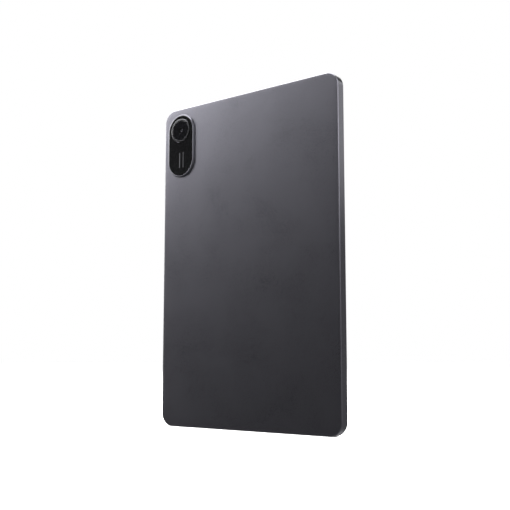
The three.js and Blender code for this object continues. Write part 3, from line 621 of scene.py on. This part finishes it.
def slot_cutters():
    """What cuts the openings for the keys, the tray, the receptacle, the microphones and the speakers."""
    cutters = []
    power_x = middle_of("power_button")[0]
    volume_z = middle_of("volume_rocker")[2]
    tray_z = middle_of("card_tray")[2]
    key = KEY_WIDTH + 2 * KEY_GAP
    cutters.append(side_cutter(
        "power_slot",
        lambda g: lying_capsule(POWER_LENGTH + 2 * KEY_GAP + g, key + g, power_x, MOUTH),
        on_height, TOP_Z, 1,
    ))
    cutters.append(side_cutter(
        "volume_slot",
        lambda g: capsule(VOLUME_LENGTH + 2 * KEY_GAP + g, key + g, MOUTH, volume_z),
        on_side, SIDE_X, 1,
    ))
    cutters.append(side_cutter(
        "tray_slot",
        lambda g: capsule(TRAY_LENGTH + 2 * KEY_GAP + g, key + g, MOUTH, tray_z),
        on_side, SIDE_X, 1, 0.06,
    ))
    usb = size_of("usb_c_shell")
    cutters.append(side_cutter(
        "usb_slot",
        lambda g: lying_capsule(usb.x + 2 * USB_GAP + g, usb.y + 2 * USB_GAP + g, 0, MOUTH),
        on_height, 0.0, -1, 0.2,
    ))
    for end, surface, direction in (("top", TOP_Z, 1), ("bottom", 0.0, -1)):
        mic_x = middle_of("microphone_" + end)[0]
        cutters.append(side_cutter(
            "mic_hole",
            lambda g, x=mic_x: circle(MIC_RADIUS + g / 2, x, MOUTH, 32),
            on_height, surface, direction, 0.06,
        ))
        for side in ("left", "right"):
            middle = middle_of(f"speaker_mesh_{end}_{side}")[0]
            for i in range(GRILLE_SLOTS):
                slot_x = middle + (i - (GRILLE_SLOTS - 1) / 2) * GRILLE_PITCH
                cutters.append(side_cutter(
                    "grille_slot",
                    lambda g, x=slot_x: lying_capsule(GRILLE_SLOT[0] + g, GRILLE_SLOT[1] + g, x, MOUTH, 12),
                    on_height, surface, direction, 0.08,
                ))
    return cutters


def build_shell():
    shell = shell_solid()
    island_x, _, island_z = middle_of("camera_island_rim")
    size = size_of("camera_island_rim")
    window = capsule(size.z - 2 * WINDOW_INSET, size.x - 2 * WINDOW_INSET, island_x, island_z)
    opening = loft("window", [on_depth(window, THICKNESS - 2), on_depth(window, THICKNESS + 1)])
    cut(shell, opening, *slot_cutters())
    finished(shell, SURFACES["anodised_metal"], stands_for=("unibody_shell",), angle=20)


build_shell()


# ---- Front: frame and cover glass ----

FRAME_INSET = (WIDTH - size_of("display_frame").x) / 2
GLASS_INSET = (WIDTH - size_of("cover_glass").x) / 2


def build_front(camera_hole=2.1, edge=0.3):
    """The frame, with a hole for the front camera, and the glass, with its edge rounded. Both in mm."""
    inner = FRAME_INSET + 1.0
    ledge = inner + 1.8
    low, high = depth_of("display_frame")
    glass_low, glass_high = depth_of("cover_glass")
    profile = [
        (FRAME_INSET, 0.1),
        (FRAME_INSET + 0.1, low),
        (inner - 0.08, low),
        (inner, 0.08),
        (inner, glass_high + 0.1),
        (ledge, glass_high + 0.1),
        (ledge, high),
        (FRAME_INSET, high),
    ]
    camera = middle_of("front_camera")
    ring = loft("display_frame_finish", [body_loop(*p) for p in profile], closed=True)
    hole = turned("hole", [(camera_hole, -1), (camera_hole, high + 1)], camera[0], camera[2])
    cut(ring, hole)
    finished(ring, SURFACES["black_plastic"], stands_for=("display_frame",))

    turn = quarter_turn(6)[::-1]
    profile = [
        (GLASS_INSET + 0.6, glass_high),
        (GLASS_INSET + 0.05, glass_high),
        (GLASS_INSET, glass_high - 0.05),
    ]
    profile += [(GLASS_INSET + edge * (1 - math.sin(a)), glass_low + edge * (1 - math.cos(a))) for a in turn]
    profile += [(GLASS_INSET + edge + 0.3, glass_low)]
    glass = loft("cover_glass_finish", [body_loop(*p) for p in profile])
    finished(glass, SURFACES["cover_glass"], stands_for=("cover_glass",))


build_front()


# ---- Camera island ----


def island_loop(inset, depth):
    """The island's outline at a depth, drawn in by an inset."""
    x, _, z = middle_of("camera_island_rim")
    size = size_of("camera_island_rim")
    return on_depth(capsule(size.z - 2 * inset, size.x - 2 * inset, x, z, 40), depth)


def build_island():
    """The metal rim, with a flared foot and a round crown, and the black glass inside it."""
    low, high = depth_of("camera_island_rim")
    glass_low, glass_high = depth_of("camera_island_glass")
    rim = ISLAND_RIM
    foot = THICKNESS + 0.04
    skirt = WINDOW_INSET + 0.3
    flare = [(0.0, foot + 0.02), (0.05, foot + 0.12), (0.1, foot + 0.26), (0.15, foot + 0.42)]
    crown = rounding(0.33, high, 0.62, 8)
    profile = [
        (skirt + 2.7, foot),
        (skirt + 1.0, foot),
        (skirt + 1.0, low),
        (skirt, low),
        (skirt, foot),
        (0.0, foot),
    ]
    profile += flare + crown
    profile += [(rim - 0.06, high - 0.02), (rim, high - 0.1)]
    profile += [(rim, glass_low - 0.04), (rim + 3.0, glass_low - 0.04)]
    body = loft("camera_island_rim_finish", [island_loop(*p) for p in profile])
    cut(body, turned("hole", [(LENS_HOLE, foot - 1), (LENS_HOLE, high + 1)], LENS[0], LENS[2]))
    finished(body, SURFACES["polished_trim"], stands_for=("camera_island_rim",))

    inset = rim + 0.15
    profile = [
        (inset + 1.0, glass_low),
        (inset, glass_low),
        (inset, glass_high - 0.15),
        (inset + 0.05, glass_high - 0.04),
        (inset + 0.15, glass_high),
        (inset + 0.2, glass_high),
        (inset + 0.6, glass_high),
    ]
    glass = loft("camera_island_glass_finish", [island_loop(*p) for p in profile])
    hole_radius = LENS_RING_RADIUS + 0.2
    cut(glass, turned("hole", [(hole_radius, foot), (hole_radius, high + 1)], LENS[0], LENS[2], 96))
    finished(glass, SURFACES["black_glass"], stands_for=("camera_island_glass",))


def build_lens():
    """The ring, the window in its seat, and the camera's barrel and lens behind the window."""
    low, high = depth_of("lens_ring")
    window_radius = size_of("lens_window").x / 2
    outer = LENS_RING_RADIUS
    step = window_radius + 0.15
    seat = high - 0.55
    across, down = 0.32, 0.28
    turn = quarter_turn(6)
    shoulder = [(outer - across * (1 - math.cos(a)), high - down * (1 - math.sin(a))) for a in turn]
    profile = [(RING_BORE, low), (outer - 0.05, low), (outer, low + 0.05)] + shoulder
    profile += [(outer - 0.4, high), (step + 0.1, high), (step + 0.05, high)]
    profile += [(step, high - 0.05), (step, seat)]
    profile += [(RING_BORE + 0.1, seat), (RING_BORE, seat - 0.1)]
    ring = turned("lens_ring_finish", profile, LENS[0], LENS[2], 96, closed=True)
    finished(ring, SURFACES["black_metal"], stands_for=("lens_ring",))

    low, high = depth_of("lens_window")
    profile = [
        (window_radius - 0.1, low),
        (window_radius, low + 0.05),
        (window_radius, high - 0.08),
        (window_radius - 0.02, high - 0.02),
        (window_radius - 0.08, high),
        (window_radius - 0.14, high),
        (window_radius - 0.6, high),
    ]
    window = turned("lens_window_finish", profile, LENS[0], LENS[2], 96)
    finished(window, SURFACES["lens_glass"], stands_for=("lens_window",))

    low, high = depth_of("rear_camera_barrel")
    radius, throat = size_of("rear_camera_barrel").x / 2, 1.95
    profile = [(radius - 0.2, low), (radius, low + 0.2), (radius, high - 0.15), (radius - 0.15, high)]
    profile += [(2.75, high), (2.6, high - 0.06), (2.6, high - 0.2), (2.3, high - 0.2), (2.3, high - 0.34)]
    profile += [(throat, high - 0.34), (throat, high - 1.0)]
    barrel = turned("rear_camera_barrel_finish", profile, LENS[0], LENS[2], 64)
    finished(barrel, SURFACES["black_metal"], "focus_barrel", ("rear_camera_barrel",))

    low, high = depth_of("rear_camera_lens")
    edge = size_of("rear_camera_lens").x / 2
    rise = 0.35
    dome = [(edge * math.cos(a), high - rise * (1 - math.sin(a))) for a in quarter_turn(10)[:-1]]
    profile = [(edge - 0.05, low), (edge, low + 0.05)] + dome
    element = turned("rear_camera_lens_finish", profile, LENS[0], LENS[2], 48)
    finished(element, lens_element(), "focus_barrel", ("rear_camera_lens",))


build_island()
build_lens()


# ---- Keys ----


def slab(name, x, depth, z, edge=0.08):
    """A block between its lowest and highest x, depth and z, with its edges broken."""
    (x0, x1), (d0, d1), (z0, z1) = x, depth, z
    bm = bmesh.new()
    bmesh.ops.create_cube(bm, size=1.0)
    for vert in bm.verts:
        vert.co.x = (x0 if vert.co.x < 0 else x1) * MM
        vert.co.y = FRONT_Y + (d0 if vert.co.y < 0 else d1) * MM
        vert.co.z = (z0 if vert.co.z < 0 else z1) * MM
    bmesh.ops.bevel(bm, geom=bm.edges, offset=edge * MM, segments=2, affect="EDGES", profile=0.5)
    return new_object(name, bm)


def around(middle, length):
    """The two ends of a length round a middle."""
    return middle - length / 2, middle + length / 2


def key_cap(name, outline, place, root, face):
    """A key's cap with a rounded edge and a faintly crowned top. outline(inset) gives its outline."""
    profile = [(0.1, root), (0.0, root + 0.1)]
    profile += rounding(0.0, face - 0.03, KEY_ROUND, 6)
    profile += [(KEY_ROUND + 0.25, face - 0.012), (KEY_ROUND + 0.6, face)]
    return loft(name, [place(outline(inset), level) for inset, level in profile])


def build_keys(plunger_length=2.0, plunger_width=1.2):
    """The two keys. Each has a flange inside the wall and a plunger over each of its switches."""
    flange = around(MOUTH, FLANGE_WIDTH)
    plunger = around(MOUTH, plunger_width)

    x = middle_of("power_button")[0]
    low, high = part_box("power_button")
    inner, face = low.z / MM, high.z / MM
    cap = key_cap(
        "power_button_finish",
        lambda inset: lying_capsule(POWER_LENGTH - 2 * inset, KEY_WIDTH - 2 * inset, x, MOUTH),
        on_height, inner + 1.0, face,
    )
    join(
        cap,
        slab("flange", around(x, POWER_LENGTH + 2 * FLANGE_REACH), flange, (inner + 0.6, inner + 1.6)),
        slab("plunger", around(x, plunger_length), plunger, (inner, inner + 0.7)),
    )
    finished(cap, SURFACES["anodised_metal"], "power_key", ("power_button",))

    z = middle_of("volume_rocker")[2]
    low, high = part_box("volume_rocker")
    inner, face = low.x / MM, high.x / MM
    cap = key_cap(
        "volume_rocker_finish",
        lambda inset: capsule(VOLUME_LENGTH - 2 * inset, KEY_WIDTH - 2 * inset, MOUTH, z),
        on_side, inner + 0.95, face,
    )
    switches = [middle_of(f"volume_{name}_switch")[2] for name in ("up", "down")]
    join(
        cap,
        slab("flange", (inner + 0.5, inner + 1.45), flange, around(z, VOLUME_LENGTH + 2 * FLANGE_REACH)),
        *[slab("plunger", (inner, inner + 0.55), plunger, around(at, plunger_length)) for at in switches],
    )
    finished(cap, SURFACES["anodised_metal"], "volume_key", ("volume_rocker",))


# ---- Card tray ----


def build_tray(plate_width=13.6, card_width=11.2):
    """The tray: a cap in the wall with a pin hole, and a plate with a recess for the card."""
    low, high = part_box("card_tray")
    back, face = low.x / MM, high.x / MM
    wall = SIDE_X - SIDE_WALL
    z = middle_of("card_tray")[2]
    pin_z = middle_of("eject_rod")[2]
    profile = [(0.08, wall - 0.3), (0.0, wall - 0.22)] + rounding(0.0, face, 0.12, 4) + [(0.5, face)]
    cap = loft(
        "card_tray_finish",
        [on_side(capsule(TRAY_LENGTH - 2 * i, KEY_WIDTH - 2 * i, MOUTH, z), x) for i, x in profile],
    )

    plate_z = z - 0.2
    floor = MOUTH + 0.25
    from_depth, to_depth = around(MOUTH, 1.0)
    middle_x, length = (back + wall) / 2, wall - back
    card_x, card_length = (back + wall + 0.2) / 2, length - 3.8

    def plate(inset):
        size = length - 2 * inset, plate_width - 2 * inset
        return rounded_rectangle(*size, 1.0 - inset, middle_x, plate_z, 8, 0.3)

    def card(grow):
        size = card_length + grow, card_width + grow
        return rounded_rectangle(*size, 0.6 + grow / 2, card_x, plate_z, 8, 0.3)

    edges = [(0.08, from_depth), (0.0, from_depth + 0.08), (0.0, to_depth - 0.08), (0.08, to_depth)]
    join(cap, loft("plate", [on_depth(plate(inset), depth) for inset, depth in edges]))
    recess = [(1.0, from_depth - 1.0), (0.2, from_depth), (0.0, from_depth + 0.1), (0.0, floor)]
    pin = [(PIN_RADIUS, wall - 1.0), (PIN_RADIUS, face - 0.08), (PIN_RADIUS + 0.2, face + 0.12)]
    cut(
        cap,
        loft("recess", [on_depth(card(grow), depth) for grow, depth in recess]),
        loft("pin", [on_side(circle(radius, MOUTH, pin_z, 32), x) for radius, x in pin]),
    )
    finished(cap, SURFACES["anodised_metal"], "tray", ("card_tray",))


# ---- USB-C receptacle ----


def build_receptacle():
    """The folded steel shell with its rolled lip, and the tongue inside it."""
    low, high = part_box("usb_c_shell")
    mouth, back = low.z / MM, high.z / MM
    size = size_of("usb_c_shell")
    sheet, floor = 0.3, back - 0.5
    profile = [(sheet, floor), (sheet, mouth + 0.25), (sheet - 0.03, mouth + 0.12)]
    profile += [(sheet - 0.1, mouth + 0.03)]
    profile += [(sheet / 2, mouth), (0.1, mouth + 0.03), (0.03, mouth + 0.1), (0.0, mouth + 0.22)]
    profile += [(0.0, back - 0.3), (0.1, back - 0.1), (0.3, back)]
    shell = loft(
        "usb_c_shell_finish",
        [on_height(lying_capsule(size.x - 2 * i, size.y - 2 * i, 0, MOUTH), z) for i, z in profile],
    )
    finished(shell, SURFACES["steel"], stands_for=("usb_c_shell",))

    low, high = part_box("usb_c_tongue")
    tip, root = low.z / MM, high.z / MM
    size = size_of("usb_c_tongue")
    profile = [(0.16, tip), (0.06, tip + 0.06), (0.0, tip + 0.22), (0.0, root)]

    def outline(inset):
        return rounded_rectangle(size.x - 2 * inset, size.y - 2 * inset, 0.17, 0, MOUTH, 5, 0.02)

    tongue = loft("usb_c_tongue_finish", [on_height(outline(inset), z) for inset, z in profile])
    finished(tongue, contact_tongue(), stands_for=("usb_c_tongue",))


# ---- Dust meshes ----


def perforated(name, x, z, size, pitch=0.5, radius=0.16, sides=8):
    """A thin sheet across a wall, with a hole in each square of a grid."""
    columns, rows = int(size.x / pitch), int(size.y / pitch)
    width, depth = size.x / columns, size.y / rows
    face_z = z - size.z / 2
    corners = ((1, 1), (-1, 1), (-1, -1), (1, -1))
    bm = bmesh.new()
    for i in range(columns):
        for j in range(rows):
            cx = x - size.x / 2 + (i + 0.5) * width
            cy = MOUTH - size.y / 2 + (j + 0.5) * depth
            rim, square = [], []
            for k in range(sides):
                a = 2 * math.pi * (k + 0.5) / sides
                reach = 1 / max(abs(math.cos(a)), abs(math.sin(a)))
                rim.append((cx + radius * math.cos(a), cy + radius * math.sin(a)))
                square.append((cx + width / 2 * reach * math.cos(a), cy + depth / 2 * reach * math.sin(a)))
            corner = [(cx + sx * width / 2, cy + sy * depth / 2) for sx, sy in corners]
            rim = [bm.verts.new(p) for p in on_height(rim, face_z)]
            square = [bm.verts.new(p) for p in on_height(square, face_z)]
            corner = [bm.verts.new(p) for p in on_height(corner, face_z)]
            for k in range(sides):
                n = (k + 1) % sides
                if k % 2 == 0:
                    bm.faces.new((rim[k], square[k], corner[k // 2], square[n], rim[n]))
                else:
                    bm.faces.new((rim[k], square[k], square[n], rim[n]))
    bmesh.ops.remove_doubles(bm, verts=bm.verts, dist=0.01 * MM)
    bmesh.ops.recalc_face_normals(bm, faces=bm.faces)
    bmesh.ops.solidify(bm, geom=bm.faces[:] + bm.edges[:] + bm.verts[:], thickness=size.z * MM)
    return new_object(name, bm)


def build_dust_meshes():
    for end in ("top", "bottom"):
        for side in ("left", "right"):
            node = f"speaker_mesh_{end}_{side}"
            x, _, z = middle_of(node)
            sheet = perforated(node + "_finish", x, z, size_of(node))
            finished(sheet, SURFACES["speaker_mesh"], stands_for=(node,))


build_keys()
build_tray()
build_receptacle()
build_dust_meshes()

# ---- Camera, floor, world and lights ----


def build_camera():
    """The photograph's view: from behind, on the -X side, below the tablet's middle."""
    data = bpy.data.cameras.new("camera")
    data.lens = 56.551
    data.sensor_width = 36.0
    data.shift_y = 0.0157
    data.clip_start = 0.01
    data.clip_end = 100.0
    camera = bpy.data.objects.new("camera", data)
    camera.location = (-0.36565, 0.47161, 0.05267)
    camera.rotation_euler = (math.radians(96.788), 0.0, math.radians(217.188))
    bpy.context.scene.collection.objects.link(camera)
    bpy.context.scene.camera = camera


def build_floor():
    bm = bmesh.new()
    bmesh.ops.create_circle(bm, cap_ends=True, segments=96, radius=12.0)
    floor = new_object("floor", bm)
    floor.location.z = -0.1 * MM
    s = Surface("floor", Roughness=0.8, Specular_IOR_Level=0.0, Emission_Strength=0.12)
    s.shader.inputs["Emission Color"].default_value = (1.0, 1.0, 1.0, 1.0)
    s.to(s.colours(s.noise(3.0), (0.88, 0.88, 0.88), (0.91, 0.91, 0.91)), "Base Color")
    floor.data.materials.append(s.material)
    floor.visible_glossy = False


# The studio as reflections see it: how bright it is between the patches, and the patches. Each has its
# azimuth from +X towards +Y, its elevation, the angles from its middle where it is full and where it ends,
# and its brightness.
DIM = 0.097
PATCHES = (
    (0, -90, 50, 76, 0.45),  # the pale floor
    (17, 10, 9, 21.5, 3.7),
    (180, 4, 20, 42, 0.8),
    (237, -12, 12, 30, 0.32),
    (293, 29, 5, 14, 1.8),
    (276, -31, 5, 13, 0.8),
    (-33, 13, 8, 15, 6.5),
)


def toward(azimuth, elevation):
    """The direction of an azimuth and an elevation in degrees."""
    a, e = math.radians(azimuth), math.radians(elevation)
    return Vector((math.cos(a) * math.cos(e), math.sin(a) * math.cos(e), math.sin(e)))


def build_world():
    """White to the eye and to matt surfaces. In reflections it is dim, with the patches above."""
    world = bpy.data.worlds.new("studio")
    bpy.context.scene.world = world
    world.use_nodes = True
    tree = world.node_tree
    direction = tree.nodes.new("ShaderNodeTexCoord").outputs["Generated"]

    def mixed(below, above, factor):
        """A colour over another. Each is a brightness or an output."""
        made = tree.nodes.new("ShaderNodeMix")
        made.data_type = "RGBA"
        tree.links.new(factor, made.inputs["Factor"])
        for key, value in (("A", below), ("B", above)):
            if isinstance(value, float):
                made.inputs[key].default_value = (value, value, value, 1.0)
            else:
                tree.links.new(value, made.inputs[key])
        return made.outputs["Result"]

    reflected = DIM
    for azimuth, elevation, full, end, brightness in PATCHES:
        dot = tree.nodes.new("ShaderNodeVectorMath")
        dot.operation = "DOT_PRODUCT"
        tree.links.new(direction, dot.inputs[0])
        dot.inputs[1].default_value = toward(azimuth, elevation)
        near = tree.nodes.new("ShaderNodeMapRange")
        near.interpolation_type = "SMOOTHSTEP"
        tree.links.new(dot.outputs["Value"], near.inputs["Value"])
        near.inputs["From Min"].default_value = math.cos(math.radians(end))
        near.inputs["From Max"].default_value = math.cos(math.radians(full))
        reflected = mixed(reflected, brightness, near.outputs["Result"])
    path = tree.nodes.new("ShaderNodeLightPath")
    seen = mixed(1.0, reflected, path.outputs["Is Glossy Ray"])
    tree.links.new(seen, tree.nodes["Background"].inputs["Color"])


def soft_light(name, azimuth, elevation, distance, size, power):
    """A soft light that faces the middle of the tablet. Azimuth is counted from +X towards +Y."""
    data = bpy.data.lights.new(name, "AREA")
    data.shape = "RECTANGLE"
    data.size, data.size_y = size
    data.energy = power
    light = bpy.data.objects.new(name, data)
    out = toward(azimuth, elevation)
    light.location = Vector((0, 0, CENTRE_Z)) + out * distance
    light.rotation_euler = out.to_track_quat("Z", "Y").to_euler()
    light.visible_camera = False
    bpy.context.scene.collection.objects.link(light)


build_camera()
build_floor()
build_world()
soft_light("key", azimuth=4.4, elevation=59.5, distance=1.28, size=(2.14, 2.4), power=126)
soft_light("side", azimuth=247, elevation=24, distance=1.3, size=(0.5, 0.5), power=1.65)
soft_light("edge", azimuth=150, elevation=33, distance=1.3, size=(0.35, 1.0), power=4.6)
bpy.context.scene.view_settings.view_transform = "Standard"
